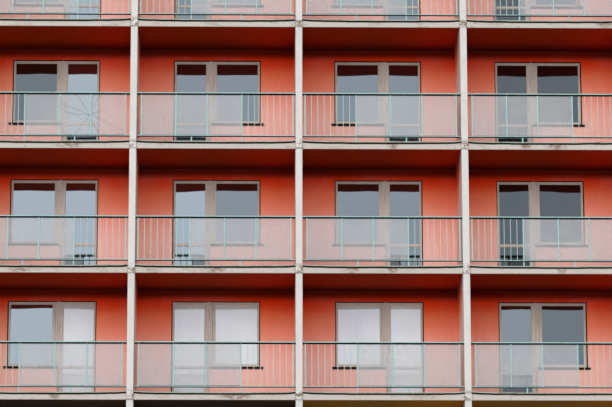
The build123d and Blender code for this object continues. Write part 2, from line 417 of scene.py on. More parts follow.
def slab_edge_concrete(name, colour):
    """The cast edge of a loggia slab: the same paint, worn through where water drips over it."""
    look = Look(name, between(shade_of(colour, 0.93), linear("#b9a999"), 0.4), roughness=0.8)
    grain = look.pattern(42, (1.8, 1, 1), 0.45, 0.72)
    look.coat(linear("#a99e8d"), look.pattern(340, (1.6, 1, 0.5), 0.53, 0.70), 0.55)
    look.coat(linear("#a39583"), grain, 0.25)
    look.coat(colour_of("stain"), look.pattern(420, (1.4, 1, 0.35), 0.585, 0.68), grain, 0.9)
    look.coat(linear("#6f5a48"), look.near_lines(X, WALL_LINES[0], BAY_WIDTH, 0.16), grain, 0.8)
    patches = 0.0
    for storey, places in EDGE_PATCHES.items():
        for across, half_length in places:
            centre = (across, FRONT, FLOORS[storey - 1] - SLAB * 0.45)
            patch = look.near(centre, (half_length * 1.3, 1, SLAB * 0.75))
            patches = look.add("Math", {0: patches, 1: patch}, operation="MAXIMUM")
    look.coat(linear("#86705c"), patches, look.pattern(75, (1.6, 1, 0.8), 0.36, 0.58), 0.85)
    return look.done(grain, 2.0)


def bare_cement(name, code, grain_mm=16):
    """Trowelled or cast cement with nothing on it: matt grey, darker where damp and dirt have settled."""
    colour = linear(code)
    look = Look(name, colour, roughness=0.9)
    grain = look.pattern(grain_mm, detail=3.0)
    look.coat(shade_of(colour, 0.62), look.pattern(700, low=0.40, high=0.68), 0.5)
    look.coat(shade_of(colour, 1.25), grain, 0.2)
    return look.done(grain, 1.5)


def alkyd_on_steel(name, colour, wear=1.0):
    """Alkyd gloss paint on mild steel, gone dull: satin, chalked, with small rust spots."""
    look = Look(name, colour, roughness=0.42)
    look.coat(shade_of(colour, 0.82), look.pattern(260, low=0.40, high=0.66), 0.5 * wear)
    rust = look.pattern(38, (1.4, 1, 1), 0.62, 0.69)
    look.coat(linear("#6e4630"), rust, look.pattern(800, low=0.50, high=0.62), 0.85 * wear)
    return look.done(look.pattern(12), 0.3, 0.4)


def joinery_paint(name, colour):
    """Oil paint on softwood joinery, never renewed: dull, cracked along the grain, brown where it is gone."""
    look = Look(name, colour, roughness=0.62)
    grain = look.pattern(14, (1, 1, 22), 0.50, 0.70)
    look.coat(shade_of(colour, 0.78), look.pattern(150, (1, 1, 3), 0.46, 0.66), 0.45)
    look.coat(linear("#957d6c"), grain, 0.45)
    return look.done(grain, 0.6, 0.5)


def weathered_sheet(name, code, second_code, roughness=0.5, ior=1.5):
    """Folded galvanised sheet, once painted: satin, with the second colour coming through in patches."""
    look = Look(name, linear(code), roughness, ior)
    fine = look.pattern(26, (2, 1, 1), 0.42, 0.66)
    look.coat(linear(second_code), look.pattern(170, (2.4, 1, 1), 0.44, 0.60), fine)
    return look.done(fine, 0.5, 0.5)


def window_glass(name, room_code, ior):
    """Double panes of drawn sheet glass: a mirror for what stands before it, over the tone of the unlit room
    or of the curtain behind it."""
    room = linear(room_code)
    look = Look(name, room, roughness=0.03, ior=ior)
    look.shader.inputs["Specular Tint"].default_value = linear("#e2f2ff")
    look.coat(shade_of(room, 1.35), look.pattern(70, (1, 1, 14), 0.35, 0.70, detail=2.0), 0.25)
    look.coat(shade_of(room, 0.7), look.pattern(800, low=0.35, high=0.70, detail=1.0), 0.3)
    # Such glass is never quite flat: waves 900 mm long bend what it mirrors
    return look.done(look.pattern(900, low=0.2, high=0.8, detail=0.5), 3.0, 0.9)


def frosted_glass(name):
    """Ribbed cast glass, one face frosted and years of dust on it: milky, but what is behind still shows."""
    look = Look(name, linear("#c6c9cc"), roughness=0.38)
    ribs = look.pattern(26, (1, 1, 40), 0.30, 0.70, detail=1.0)
    film = look.pattern(620, (1, 1, 1.3), 0.38, 0.68, detail=1.0)
    look.coat(linear("#b2b4b5"), ribs, 0.15)
    look.coat(linear("#cdcdcb"), film, 0.15)
    # Each pane shows two faces, so half of its cover is given to each
    cover = look.add("MapRange", {"Value": film, "To Min": 0.34, "To Max": 0.40}).outputs[0]
    return look.done(ribs, 0.4, 0.2, alpha=cover)


def crushed_glass(name):
    """Glass broken into splinters: white where they lie close, and clear between them."""
    look = Look(name, linear("#cfd8dd"), roughness=0.5)
    splinters = look.pattern(90, (2.2, 1, 0.7), 0.40, 0.66, detail=3.0)
    look.coat(linear("#f2f5f6"), splinters)
    cover = look.add("Math", {0: splinters, 1: 0.22}, operation="MULTIPLY").outputs[0]
    return look.done(alpha=cover)


def plain_finish(name, code, roughness):
    """A small part's finish, such as rubber or dark iron, with a little mottling."""
    colour = linear(code)
    look = Look(name, colour, roughness)
    look.coat(shade_of(colour, 1.5), look.pattern(20), 0.5)
    return look.done()


def roofing_felt(name):
    """Bitumen felt laid in metre-wide sheets: slate grit on dark grey, with a darker lap along each sheet.
    The slab's edges below it are painted."""
    look = Look(name, linear("#4c4c4d"), roughness=0.9)
    grit = look.pattern(8, detail=2.0)
    look.coat(linear("#5f5f60"), grit, 0.5)
    look.coat(linear("#6b6862"), look.pattern(1300, low=0.42, high=0.66), 0.5)
    look.coat(linear("#2f2f30"), look.near_lines(X, WALL_LINES[0], 1.0, 0.05), 0.7)
    look.coat(colour_of("white"), look.fade(look.facing(Z), 0.8, 0.3))
    return look.done(grit, 1.5)


# Each finish by its name, with its maker and what that takes: a colour of the panel by its name, a hex code,
# or a number
FINISHES = {
    "masonry_paint_white": (painted_concrete, "white"),
    "slab_edge_paint": (slab_edge_concrete, "white"),
    "loggia_screed": (bare_cement, "#958d82"),
    "plinth_render": (bare_cement, "#8b8883", 10),
    "joint_mortar": (bare_cement, "#5d554d", 12),
    # Sealant in the rear joints; beside and over the loggia frames it also paints the reveals' shade
    "sealant": (plain_finish, "#3a1a12", 0.8),
    "alkyd_on_steel": (alkyd_on_steel, "steel"),
    "wrought_bracket": (plain_finish, "#39362f", 0.6),
    "rubber_gasket": (plain_finish, "#2b2d2b", 0.7),
    "joinery_paint": (joinery_paint, "frames"),
    "handle_alloy": (plain_finish, "#8b8073", 0.4),
    # Rust and painted shade on the sill sheets
    "rusty_sill_sheet": (weathered_sheet, "#34170f", "#5e3223", 0.7, 1.2),
    # A dark sheet that paints shadow, under the drip strips and under the sills
    "rusted_angle": (weathered_sheet, "#1f1c17", "#3a3127", 0.9, 1.1),
    # Painted shade on the rails' undersides and lower edges
    "rail_underside": (weathered_sheet, "#121311", "#25231d", 0.9, 1.1),
    "drip_strip_sheet": (weathered_sheet, "#aab3a6", "#7c7765"),
    "coping_zinc": (weathered_sheet, "#9aa0a2", "#7d8385", 0.4),
    "glass_dusk": (window_glass, "#0b0d0f", 2.25),
    "glass_dim": (window_glass, "#0d0f11", 2.7),
    "glass_day": (window_glass, "#0f1214", 3.6),
    "glass_pale": (window_glass, "#14181b", 6.0),
    "glass_net": (window_glass, "#f0f2f4", 3.1),
    "frosted_ribbed_glass": (frosted_glass,),
    "crack_shadow": (plain_finish, "#65615e", 0.5),
    "crack_glint": (plain_finish, "#c3c8ca", 0.6),
    "crushed_glass": (crushed_glass,),
    "door_enamel": (alkyd_on_steel, linear("#7a8482"), 0.6),
    "roofing_felt": (roofing_felt,),
}
for paint_name in PAINTS:
    FINISHES[f"silicate_paint_{paint_name}"] = (facade_paint, paint_name)
    FINISHES[f"ceiling_paint_{paint_name}"] = (ceiling_paint, f"{paint_name}_ceiling")
    FINISHES[f"masonry_paint_{paint_name}_inside"] = (painted_concrete, "white", paint_name)


def finish(name):
    """A finish by its name, made on first use."""
    if name not in bpy.data.materials:
        maker, *details = FINISHES[name]
        known = BlockColours.__annotations__
        maker(name, *(colour_of(detail) if detail in known else detail for detail in details))
    return bpy.data.materials[name]


# Modelling helpers
def select_only(*pieces):
    """Leaves only these pieces selected, with the first of them active."""
    if bpy.context.mode != "OBJECT":
        bpy.ops.object.mode_set(mode="OBJECT")
    bpy.ops.object.select_all(action="DESELECT")
    for piece in pieces:
        piece.select_set(True)
    if pieces:
        bpy.context.view_layer.objects.active = pieces[0]


def select_parts(piece, edges, chosen):
    """Goes into edit mode and selects the edges or vertices that a function chooses from the mesh."""
    bpy.ops.object.mode_set(mode="EDIT")
    bpy.ops.mesh.select_all(action="DESELECT")
    bpy.context.tool_settings.mesh_select_mode = (not edges, edges, False)
    mesh = bmesh.from_edit_mesh(piece.data)
    for part in chosen(mesh):
        part.select_set(True)
    bmesh.update_edit_mesh(piece.data)


def bar(x_range, y_range, z_range, material, edge=0.0):
    """A bar between limits on each axis, with its edges eased by a chamfer."""
    select_only()
    ranges = [sorted(limits) for limits in (x_range, y_range, z_range)]
    bpy.ops.mesh.primitive_cube_add(size=1, location=[sum(limits) / 2 for limits in ranges])
    bpy.ops.transform.resize(value=[high - low for low, high in ranges])
    bpy.ops.object.transform_apply()
    if edge:
        bpy.ops.object.mode_set(mode="EDIT")
        bpy.ops.mesh.select_all(action="SELECT")
        bpy.ops.mesh.bevel(offset=edge, offset_type="OFFSET", segments=1, affect="EDGES")
        bpy.ops.object.mode_set(mode="OBJECT")
    made = bpy.context.active_object
    made.data.materials.append(finish(material))
    return made


def join(pieces):
    """Joins pieces into the first of them."""
    select_only(*pieces)
    if len(pieces) > 1:
        bpy.ops.object.join()
    return pieces[0]


def copy_of(piece, offset=(0, 0, 0), flipped=False):
    """A copy with its own mesh, moved, and mirrored across its own X = 0 first where asked."""
    select_only(piece)
    bpy.ops.object.duplicate()
    made = bpy.context.active_object
    if flipped:
        bpy.ops.transform.resize(value=(-1, 1, 1), center_override=(0, 0, 0))
        bpy.ops.object.transform_apply()
        bpy.ops.object.mode_set(mode="EDIT")
        bpy.ops.mesh.select_all(action="SELECT")
        bpy.ops.mesh.normals_make_consistent(inside=False)
        bpy.ops.object.mode_set(mode="OBJECT")
    bpy.ops.transform.translate(value=offset)
    return made


def remove(piece):
    select_only(piece)
    bpy.ops.object.delete()


def spread(model, places):
    """Copies a model to each place, flipped where its place says so, and removes it."""
    copies = [copy_of(model, offset, flipped) for offset, flipped in places]
    remove(model)
    return copies


def settle(pieces, name, slot, *replaced):
    """Makes one named piece of several, with its place in its mesh, on the building's body."""
    piece = join(pieces)
    piece.name = name
    piece.data.name = name
    bpy.ops.object.transform_apply()
    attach(piece, "root")
    if replaced:
        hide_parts(*replaced)


def paint_sides(piece, top, bottom):
    """Gives a piece's upper and lower faces finishes of their own."""
    for material in (top, bottom):
        piece.data.materials.append(finish(material))
    flat = 0.9
    for face in piece.data.polygons:
        if abs(face.normal.z) > flat:
            face.material_index = 1 if face.normal.z > 0 else 2


# Places in the building
def bay_of(box):
    """The bay that a box stands in, counted from 0 at the left."""
    return min(range(BAYS), key=lambda bay: abs(BAY_MIDDLES[bay] - middle(box).x))


def storey_of(box):
    """The storey that a box stands in, counted from 1."""
    height = middle(box).z - STOREY_HEIGHT / 2
    return 1 + min(range(STOREYS), key=lambda number: abs(FLOORS[number] - height))


def loggias():
    """Each loggia's storey, its bay and its floor's level, storey by storey."""
    for storey, floor in enumerate(FLOORS, start=1):
        for bay in range(BAYS):
            yield storey, bay, floor


def door_of(bay):
    """The box of one of a bay's balcony doors."""
    return next(box for box in LOGGIA_DOORS if bay_of(box) == bay)


def door_side(bay):
    """+1 where the balcony door is by the right-hand wall, -1 where it is by the left-hand wall."""
    return 1 if middle(door_of(bay)).x > BAY_MIDDLES[bay] else -1


def panes_of(storey, bay):
    """The boxes of the glass in one railing."""
    return [box for box in PANES if storey_of(box) == storey and bay_of(box) == bay]


def glazed_side(storey, bay):
    """+1 where the glazed fields of a railing are at its right end, -1 where they are at its left."""
    middles = [middle(box).x for box in panes_of(storey, bay)]
    return 1 if sum(middles) / len(middles) > BAY_MIDDLES[bay] else -1


def railing_places():
    """Where each railing goes, storey by storey, and whether its glazed fields are at its left."""
    return [((BAY_MIDDLES[bay], 0, floor), glazed_side(storey, bay) < 0) for storey, bay, floor in loggias()]


def glazing_plan():
    """The panes of a railing that has them on its right: where each starts and ends across, about the bay's
    middle and from right to left, and then how high all of them start and end above the floor."""
    side = glazed_side(1, 0)
    boxes = panes_of(1, 0)
    across = [sorted(side * (corner.x - BAY_MIDDLES[0]) for corner in box) for box in boxes]
    return sorted(across, reverse=True), [corner.z - FLOORS[0] for corner in boxes[0]]


def paint_below(level, bay):
    """The colour of the storey under a level, in a bay."""
    if level < FLOORS[0] + STOREY_HEIGHT / 2:
        return None
    if level > FLOORS[LOWER_STOREYS] + STOREY_HEIGHT / 2:
        return "red"
    return "brown" if bay < BAYS / 2 else "ochre"


class APARTMENT_OT_carried_walls(bpy.types.Operator):
    """Finish the walls, floors and bars whose shape the model already has"""

    bl_idname = "apartment.carried_walls"
    bl_label = "Walls and Floors"

    def execute(self, context):
        finishes = {
            "base_slab": "plinth_render",
            "ground_wall_piers": "plinth_render",
            "ground_wall_spandrels": "plinth_render",
            "door_thresholds": "loggia_screed",
            "floor_slabs": "loggia_screed",
            "roof_slab": "roofing_felt",
            "roof_parapet": "masonry_paint_white",
            "railing_bars": "alkyd_on_steel",
        }
        for side in ("front", "rear"):
            for part in ("piers", "spandrels"):
                for colour in PAINTS:
                    finishes[f"{side}_{part}_{colour}"] = f"silicate_paint_{colour}"
        for node, name in finishes.items():
            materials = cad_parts[node].data.materials
            materials.clear()
            materials.append(finish(name))
        return {"FINISHED"}


class APARTMENT_OT_cross_walls(bpy.types.Operator):
    """Build the loggias' cross walls from storey-high panels with open joints"""

    bl_idname = "apartment.cross_walls"
    bl_label = "Cross Walls"

    def execute(self, context):
        size = sizes()
        core_y = (FRONT + size.joint_depth, BACK_WALL)
        for number, (name, line) in enumerate(zip(CROSS_WALLS, WALL_LINES)):
            core_x = around(line, WALL_THICKNESS - 2 * size.joint_depth)
            panel_x = around(line, WALL_THICKNESS)
            pieces = [bar(core_x, core_y, (BASE_TOP, ROOF_TOP), "joint_mortar")]
            for low, high in zip(PANEL_LEVELS, PANEL_LEVELS[1:]):
                bottom = low + (size.panel_joint / 2 if low > BASE_TOP else 0)
                top = high - (size.panel_joint / 2 if high < ROOF_TOP else 0)
                left, right = (self.inside_paint(high, number + step) for step in (-1, 0))
                panel = bar(panel_x, (FRONT, BACK_WALL), (bottom, top), right, size.concrete_edge)
                panel.data.materials.append(finish(left))
                for face in panel.data.polygons:
                    face.material_index = 1 if face.normal.x < 0 else 0
                pieces.append(panel)
            settle(pieces, f"{name}_panels", "concrete", name)
        return {"FINISHED"}

    def inside_paint(self, level, bay):
        """The finish of a side wall under a level, as seen from the nearest bay."""
        colour = paint_below(level, min(max(bay, 0), BAYS - 1)) or "brown"
        return f"masonry_paint_{colour}_inside"


class APARTMENT_OT_gables(bpy.types.Operator):
    """Build the gables from columns of storey-high panels with open joints"""

    bl_idname = "apartment.gables"
    bl_label = "Gables"

    columns: count("Columns", "Panels side by side in a gable", 3)

    def execute(self, context):
        size = sizes()
        half_joint = size.panel_joint / 2
        for name in ("left_gable", "right_gable"):
            low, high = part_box(name)
            inner, outer = sorted((low.x, high.x), key=abs)
            skin = outer - math.copysign(size.joint_depth, outer)
            core_y = (low.y + size.joint_depth, high.y - size.joint_depth)
            pieces = [bar((inner, skin), core_y, (low.z, high.z), "joint_mortar")]
            width = (high.y - low.y) / self.columns
            for bottom, top in zip(PANEL_LEVELS, PANEL_LEVELS[1:]):
                panel_z = (bottom, top - (size.panel_joint if top < ROOF_TOP else 0))
                for column in range(self.columns):
                    start = low.y + column * width
                    end = start + width
                    start += half_joint if column else 0
                    end -= half_joint if column < self.columns - 1 else 0
                    panel = (inner, outer), (start, end), panel_z
                    pieces.append(bar(*panel, "masonry_paint_white", size.concrete_edge))
            settle(pieces, f"{name}_panels", "render", name)
        return {"FINISHED"}


class APARTMENT_OT_loggia_slabs(bpy.types.Operator):
    """Build the loggia slabs with a worn edge, a screeded top and the ceiling colour of the storey below"""

    bl_idname = "apartment.loggia_slabs"
    bl_label = "Loggia Slabs"

    def execute(self, context):
        pieces = []
        for box in solid_boxes("loggia_slabs"):
            slab = bar(*zip(*box), "slab_edge_paint", sizes().concrete_edge)
            level = box[1].z
            colour = paint_below(level, bay_of(box))
            ceiling = f"ceiling_paint_{colour}" if colour else "plinth_render"
            top = "roofing_felt" if level > FLOORS[-1] + STOREY_HEIGHT / 2 else "loggia_screed"
            paint_sides(slab, top, ceiling)
            pieces.append(slab)
        settle(pieces, "loggia_slabs_painted", "concrete", "loggia_slabs")
        return {"FINISHED"}


class APARTMENT_OT_drip_strips(bpy.types.Operator):
    """Fold the sheet-metal strips along the loggia floors, dented here and there"""

    bl_idname = "apartment.drip_strips"
    bl_label = "Drip Strips"

    lengthwise_cuts: count("Cuts", "Divisions along one strip", 28)
    thickness: length("Thickness", "Thickness of the folded sheet", 0.003)
    face_height: length("Height", "Face of the strip", 0.018)
    reach: length("Reach", "How far the strip stands out from the slab's edge", 0.031)
    dent: length("Dent", "How far a strip is bent out of line", 0.010)
    # The angle under each strip is dark to paint the strip's shadow
    angle_height: length("Angle height", "Height of the rusted angle under the strip", 0.032)
    end_lift: length("End lift", "How much higher a strip's ends are nailed", 0.028)
    end_gap: length("End gap", "How much shorter a strip is than its floor", 0.004)
    angle_gap: length("Angle gap", "From the rusted angle to the slab's edge", 0.008)
    flange: length("Flange", "How far the strip reaches over the floor", 0.05)

    def execute(self, context):
        slabs = [box for box in solid_boxes("loggia_slabs") if box[1].z < ROOF_TOP - STOREY_HEIGHT / 2]
        places = [((middle(box).x, 0, box[1].z), False) for box in slabs]
        strips = join(spread(self.strip(slabs[0]), places))
        bpy.ops.object.transform_apply()
        self.dent_by_clouds(strips, "Z", self.dent, 0.37)
        self.dent_by_clouds(strips, "Y", self.dent / 2, 0.26)
        bpy.ops.object.modifier_add(type="SOLIDIFY")
        sheet = strips.modifiers[-1]
        sheet.thickness = self.thickness
        sheet.offset = 0
        bpy.ops.object.modifier_apply(modifier=sheet.name)
        settle([strips], "loggia_drip_strips", "sheet_metal")
        return {"FINISHED"}

    def strip(self, slab):
        """One strip about X = 0 on a floor at Z = 0: a face in front, a flange on the floor and a return."""
        select_only()
        width = slab[1].x - slab[0].x
        face_y = slab[0].y - self.reach
        top = self.thickness
        bottom = top - self.face_height
        upright = (math.pi / 2, 0, 0)
        bpy.ops.mesh.primitive_grid_add(
            x_subdivisions=self.lengthwise_cuts, y_subdivisions=1, size=1, rotation=upright
        )
        made = bpy.context.active_object
        bpy.ops.object.transform_apply()
        bpy.ops.transform.resize(value=(width - self.end_gap, 1, self.face_height))
        bpy.ops.transform.translate(value=(0, face_y, (top + bottom) / 2))
        bpy.ops.object.transform_apply()
        back = self.reach - self.angle_gap
        self.fold(made, face_y, top, (0, self.reach + self.flange, 0))
        self.fold(made, face_y, bottom, (0, back, 0))
        self.fold(made, face_y + back, bottom, (0, 0, -self.angle_height))
        made.data.materials.append(finish("drip_strip_sheet"))
        # The return and the angle under the strip are a dark sheet: painted shadow under the strip
        made.data.materials.append(finish("rusted_angle"))
        for face in made.data.polygons:
            face.material_index = 1 if face.center.z < bottom + 0.001 else 0
        self.raise_ends(made, width / 2)
        return made

    def fold(self, piece, y, z, way):
        """Extrudes the sheet's long edge at a place along the way of its next fold."""

        def long_edge(mesh):
            place = Vector((y, z))
            return [e for e in mesh.edges if all((vertex.co.yz - place).length < 1e-4 for vertex in e.verts)]

        select_parts(piece, True, long_edge)
        bpy.ops.mesh.extrude_edges_move(TRANSFORM_OT_translate={"value": way})
        bpy.ops.object.mode_set(mode="OBJECT")

    def raise_ends(self, piece, half_width):
        """Lifts a strip towards its ends, where it was nailed higher, so that it sags between them."""
        for reach, share in ((0.9, 0.15), (0.45, 0.20), (0.2, 0.25), (0.08, 0.40)):
            inside = half_width - reach
            select_parts(piece, False, lambda mesh: [v for v in mesh.verts if abs(v.co.x) > inside])
            bpy.ops.transform.translate(value=(0, 0, self.end_lift * share))
            bpy.ops.object.mode_set(mode="OBJECT")

    def dent_by_clouds(self, piece, direction, strength, scale):
        """Bends a piece along an axis by soft noise with lumps of a real size."""
        texture = bpy.data.textures.new(f"dents_{direction}", "CLOUDS")
        texture.noise_scale = scale
        texture.noise_depth = 1
        bpy.ops.object.modifier_add(type="DISPLACE")
        dents = piece.modifiers[-1]
        dents.texture = texture
        dents.texture_coords = "LOCAL"
        dents.direction = direction
        dents.strength = strength
        bpy.ops.object.modifier_apply(modifier=dents.name)


class APARTMENT_OT_railings(bpy.types.Operator):
    """Build the railings: two flat rails with end brackets, posts, and legs with foot plates"""

    bl_idname = "apartment.railings"
    bl_label = "Railings"

    rail_edge: length("Rail edge", "Rounding of the flat rails", 0.004)
    post: length("Post", "Width of posts and legs", 0.03)
    post_edge: length("Post edge", "Rounding of posts and legs", 0.003)
    bottom_rail: length("Bottom rail", "Height of the bottom rail", 0.026)
    bottom_depth: length("Bottom depth", "Depth of the bottom rail", 0.066)
    bracket: length("Bracket", "Depth of end brackets and width of foot plates", 0.09)
    bracket_height: length("Bracket height", "Height of the end brackets", 0.072)
    bracket_drop: length("Bracket drop", "From a rail's middle down to the middle of its brackets", 0.012)
    plate: length("Plate", "Thickness of brackets and foot plates", 0.006)
    plate_edge: length("Plate edge", "Rounding of brackets and foot plates", 0.002)
    # The rails' dark lower edge, their undersides and the strip under the top rail are painted shade
    shaded_lower_edge: length("Worn edge", "Height of the rusted lower edge of the rails", 0.010)
    channel: length("Channel", "Height of the rubber-lined channel under the top rail", 0.018)

    def execute(self, context):
        frames = spread(self.railing(), railing_places())
        for storey, name in enumerate(RAILINGS, start=1):
            of_storey = frames[(storey - 1) * BAYS : storey * BAYS]
            settle(of_storey, f"storey_{storey}_railings", "railing_steel", name)
        return {"FINISHED"}

    def railing(self):
        """A railing with its glazed fields on the right, about X = 0 on a floor at Z = 0."""
        low, high = solid_boxes(RAILINGS[0])[0]
        half = (high.x - low.x) / 2
        y = (low.y + high.y) / 2
        panes, (pane_low, pane_high) = glazing_plan()
        foot_z = pane_low - self.bottom_rail
        post_y = around(y, self.post)
        shade_channel_z = (pane_high - self.channel, pane_high)
        pieces = self.rail(half, y, high.y - low.y, (pane_high, high.z - low.z))
        pieces += self.rail(half, y, self.bottom_depth, (foot_z, pane_low))
        # A dark strip under the top rail paints the shade beneath it
        pieces.append(bar((-half, half), post_y, shade_channel_z, "rail_underside"))
        posts = [panes[0][1] + self.post / 2, *(pane[0] - self.post / 2 for pane in panes)]
        for x in (*posts, -half + 2 * self.post):
            post = around(x, self.post), post_y, (pane_low, pane_high)
            pieces.append(bar(*post, "alkyd_on_steel", self.post_edge))
        for x in ((posts[1] + posts[2]) / 2, posts[3]):
            leg = around(x, self.post), post_y, (0, foot_z)
            foot = around(x, self.bracket), around(y, self.bracket), (0, self.plate)
            pieces.append(bar(*leg, "alkyd_on_steel", self.post_edge))
            pieces.append(bar(*foot, "alkyd_on_steel", self.plate_edge))
        return join(pieces)

    def rail(self, half, y, depth, z_range):
        """One rail with a dark lower edge and a dark underside that paint its shade, and its two end
        brackets.
        """
        x_range, y_range = (-half, half), around(y, depth)
        rail = bar(x_range, y_range, z_range, "alkyd_on_steel", self.rail_edge)
        paint_sides(rail, "alkyd_on_steel", "rail_underside")
        # A dark skin half a millimetre proud of the rail's face wraps round its lower edge and paints the
        # shade there
        lip_y = (y_range[0] - 0.0005, y_range[0] + 0.006)
        lip_z = (z_range[0] - 0.001, z_range[0] + self.shaded_lower_edge)
        pieces = [rail, bar(x_range, lip_y, lip_z, "rail_underside")]
        bracket_y = around(y, self.bracket)
        bracket_z = around(sum(z_range) / 2 - self.bracket_drop, self.bracket_height)
        for end in x_range:
            bracket_x = (end, end - math.copysign(self.plate, end))
            pieces.append(bar(bracket_x, bracket_y, bracket_z, "wrought_bracket", self.plate_edge))
        return pieces


class APARTMENT_OT_railing_panels(bpy.types.Operator):
    """Set the frosted panes of the railings in their rubber strips, and crack two of them by one blow"""

    bl_idname = "apartment.railing_panels"
    bl_label = "Railing Glass"

    gasket: length("Gasket", "Width of the rubber strips along a pane", 0.014)
    gasket_lip: length("Gasket lip", "How far the strips stand out on each side of a pane", 0.004)
    thickness: length("Thickness", "Thickness of a pane", 0.006)
    rays: count("Rays", "Cracks that spread from the blow", 14)
    star: length("Star", "Radius of the crushed glass round the blow", 0.42)

    def execute(self, context):
        panes, gaskets = self.field()
        settle(spread(panes, railing_places()), "railing_panes", "wired_glass", "railing_glass")
        settle(spread(gaskets, railing_places()), "railing_pane_gaskets", "railing_steel")
        self.crack(*CRACKED_RAILING)
        return {"FINISHED"}

    def field(self):
        """The panes of one railing and their rubber strips, about X = 0 on a floor at Z = 0."""
        across, (bottom, top) = glazing_plan()
        y = middle(PANES[0]).y
        pane_y = around(y, self.thickness)
        strip_y = around(y, self.thickness + 2 * self.gasket_lip)
        pane_z = (bottom + self.gasket / 2, top - self.gasket / 2)
        panes, strips = [], []
        for x_range in across:
            panes.append(bar(x_range, pane_y, pane_z, "frosted_ribbed_glass"))
            for z_range in ((bottom, bottom + self.gasket), (top - self.gasket, top)):
                strips.append(bar(x_range, strip_y, z_range, "rubber_gasket", self.gasket_lip / 2))
        return join(panes), join(strips)

    def crack(self, storey, bay):
        """Cracks that spread from one blow, on the two panes nearest the bay's right-hand wall."""
        chance = random.Random(3)
        panes = sorted(panes_of(storey, bay), key=lambda box: box[0].x)
        low, high = panes[1][0], panes[2][1]
        rim = 0.01
        shortest = 0.02
        # The blow is 30 mm left of the right-hand pane and 20 mm below its middle
        blow = Vector((panes[2][0].x - 0.03, low.y, (low.z + high.z) / 2 - 0.02))
        pieces = [self.splinters(blow)]
        for ray in range(self.rays):
            turn = 2 * math.pi * (ray + chance.uniform(-0.3, 0.3)) / self.rays
            reach = chance.uniform(0.45, 0.90)
            material = "crack_shadow" if ray % 4 else "crack_glint"
            start = blow
            for width in (0.005, 0.0045, 0.0035):
                turn += chance.uniform(-0.22, 0.22)
                end = start + Vector((math.cos(turn), 0, math.sin(turn))) * reach / 3
                end.x = min(max(end.x, low.x), high.x)
                end.z = min(max(end.z, low.z + rim), high.z - rim)
                if (end - start).length > shortest:
                    pieces.append(self.crack_line(start, end, width, material))
                start = end
        settle(pieces, "cracked_pane_lines", "wired_glass")

    def splinters(self, blow):
        """The milky star of crushed glass, mostly left of the blow and under it."""
        select_only()
        upright = (math.pi / 2, 0, 0)
        points = 2 * 13
        bpy.ops.mesh.primitive_circle_add(
            vertices=points, radius=self.star, fill_type="TRIFAN", rotation=upright
        )
        star = bpy.context.active_object
        bpy.ops.object.transform_apply()

        def every_second(mesh):
            rim = [vertex for vertex in mesh.verts if vertex.co.length > self.star / 2]
            return sorted(rim, key=lambda vertex: math.atan2(vertex.co.z, vertex.co.x))[::2]

        select_parts(star, False, every_second)
        bpy.ops.transform.resize(value=(0.6, 1, 0.6), center_override=(0, 0, 0))
        bpy.ops.mesh.select_all(action="SELECT")
        bpy.ops.transform.resize(value=(1, 1, 0.62), center_override=(0, 0, 0))
        bpy.ops.transform.translate(value=blow + Vector((-0.16, -0.001, -0.12)))
        bpy.ops.object.mode_set(mode="OBJECT")
        star.data.materials.append(finish("crushed_glass"))
        return star

    def crack_line(self, start, end, width, material):
        """One straight stretch of a crack, as a ridge 2 mm thick in the pane's face."""
        run = end - start
        line = bar(around(0, run.length), around(0, 0.002), around(0, width), material)
        line.rotation_euler = (0, -math.atan2(run.z, run.x), 0)
        line.location = (start + end) / 2 - Vector((0, 0.0015, 0))
        select_only(line)
        bpy.ops.object.transform_apply()
        return line


# Frames of doors and windows
def framed_lights(uprights, lights, z_range, y_front, depth):
    """Frame members and glass openings: uprights are x ranges, each with how far it stands out, and each
    light between two of them is a list of its rails as z ranges."""
    size = sizes()
    lap = size.wood_edge
    smallest_light = 0.05
    rail_y = (y_front + size.rail_setback, y_front + depth - size.rail_setback)
    members, openings = [], []
    for low, high, proud in uprights:
        y_range = (y_front - proud, y_front + depth)
        members.append(bar((low, high), y_range, z_range, "joinery_paint", size.wood_edge))
    gaps = [(left[1], right[0]) for left, right in zip(uprights, uprights[1:])]
    gaps = [gap for gap in gaps if gap[1] - gap[0] > smallest_light]
    for (low, high), rails in zip(gaps, lights):
        for rail in rails:
            members.append(bar((low - lap, high + lap), rail_y, rail, "joinery_paint", size.wood_edge))
        for under, over in zip(rails, rails[1:]):
            opening = (low, high), (under[1], over[0])
            openings.append(opening)
            members.extend(glazing_beads(*opening, y_front + size.glass_depth))
    return members, openings


def glazing_beads(x_range, z_range, y_glass):
    """Thin beads round a pane, in front of it, let into the frame by their lap."""
    bead = sizes().bead
    lap = 0.002
    (left, right), (bottom, top) = x_range, z_range
    bead_y = (y_glass - bead, y_glass)
    upright = [(left - lap, left + bead), (right - bead, right + lap)]
    level = [(bottom - lap, bottom + bead), (top - bead, top + lap)]
    places = [(across, z_range) for across in upright] + [(x_range, height) for height in level]
    return [bar(across, bead_y, height, "joinery_paint") for across, height in places]


def double_pane(x_range, z_range, y_face, inwards, kind):
    """A window's glass, behind a frame's face."""
    size = sizes()
    y_glass = y_face + inwards * size.glass_depth
    return bar(x_range, (y_glass, y_glass + inwards * size.pane_thickness), z_range, f"glass_{kind}")


def glass_kind(storey, bay, part):
    """The look of a door's or window's glass in a storey and bay."""
    named = sorted(GLASS_BY_STOREY)
    row = storey if storey in GLASS_BY_STOREY else named[storey % len(named)]
    return GLASS_BY_STOREY[row].split(", ")[bay].split()[part]


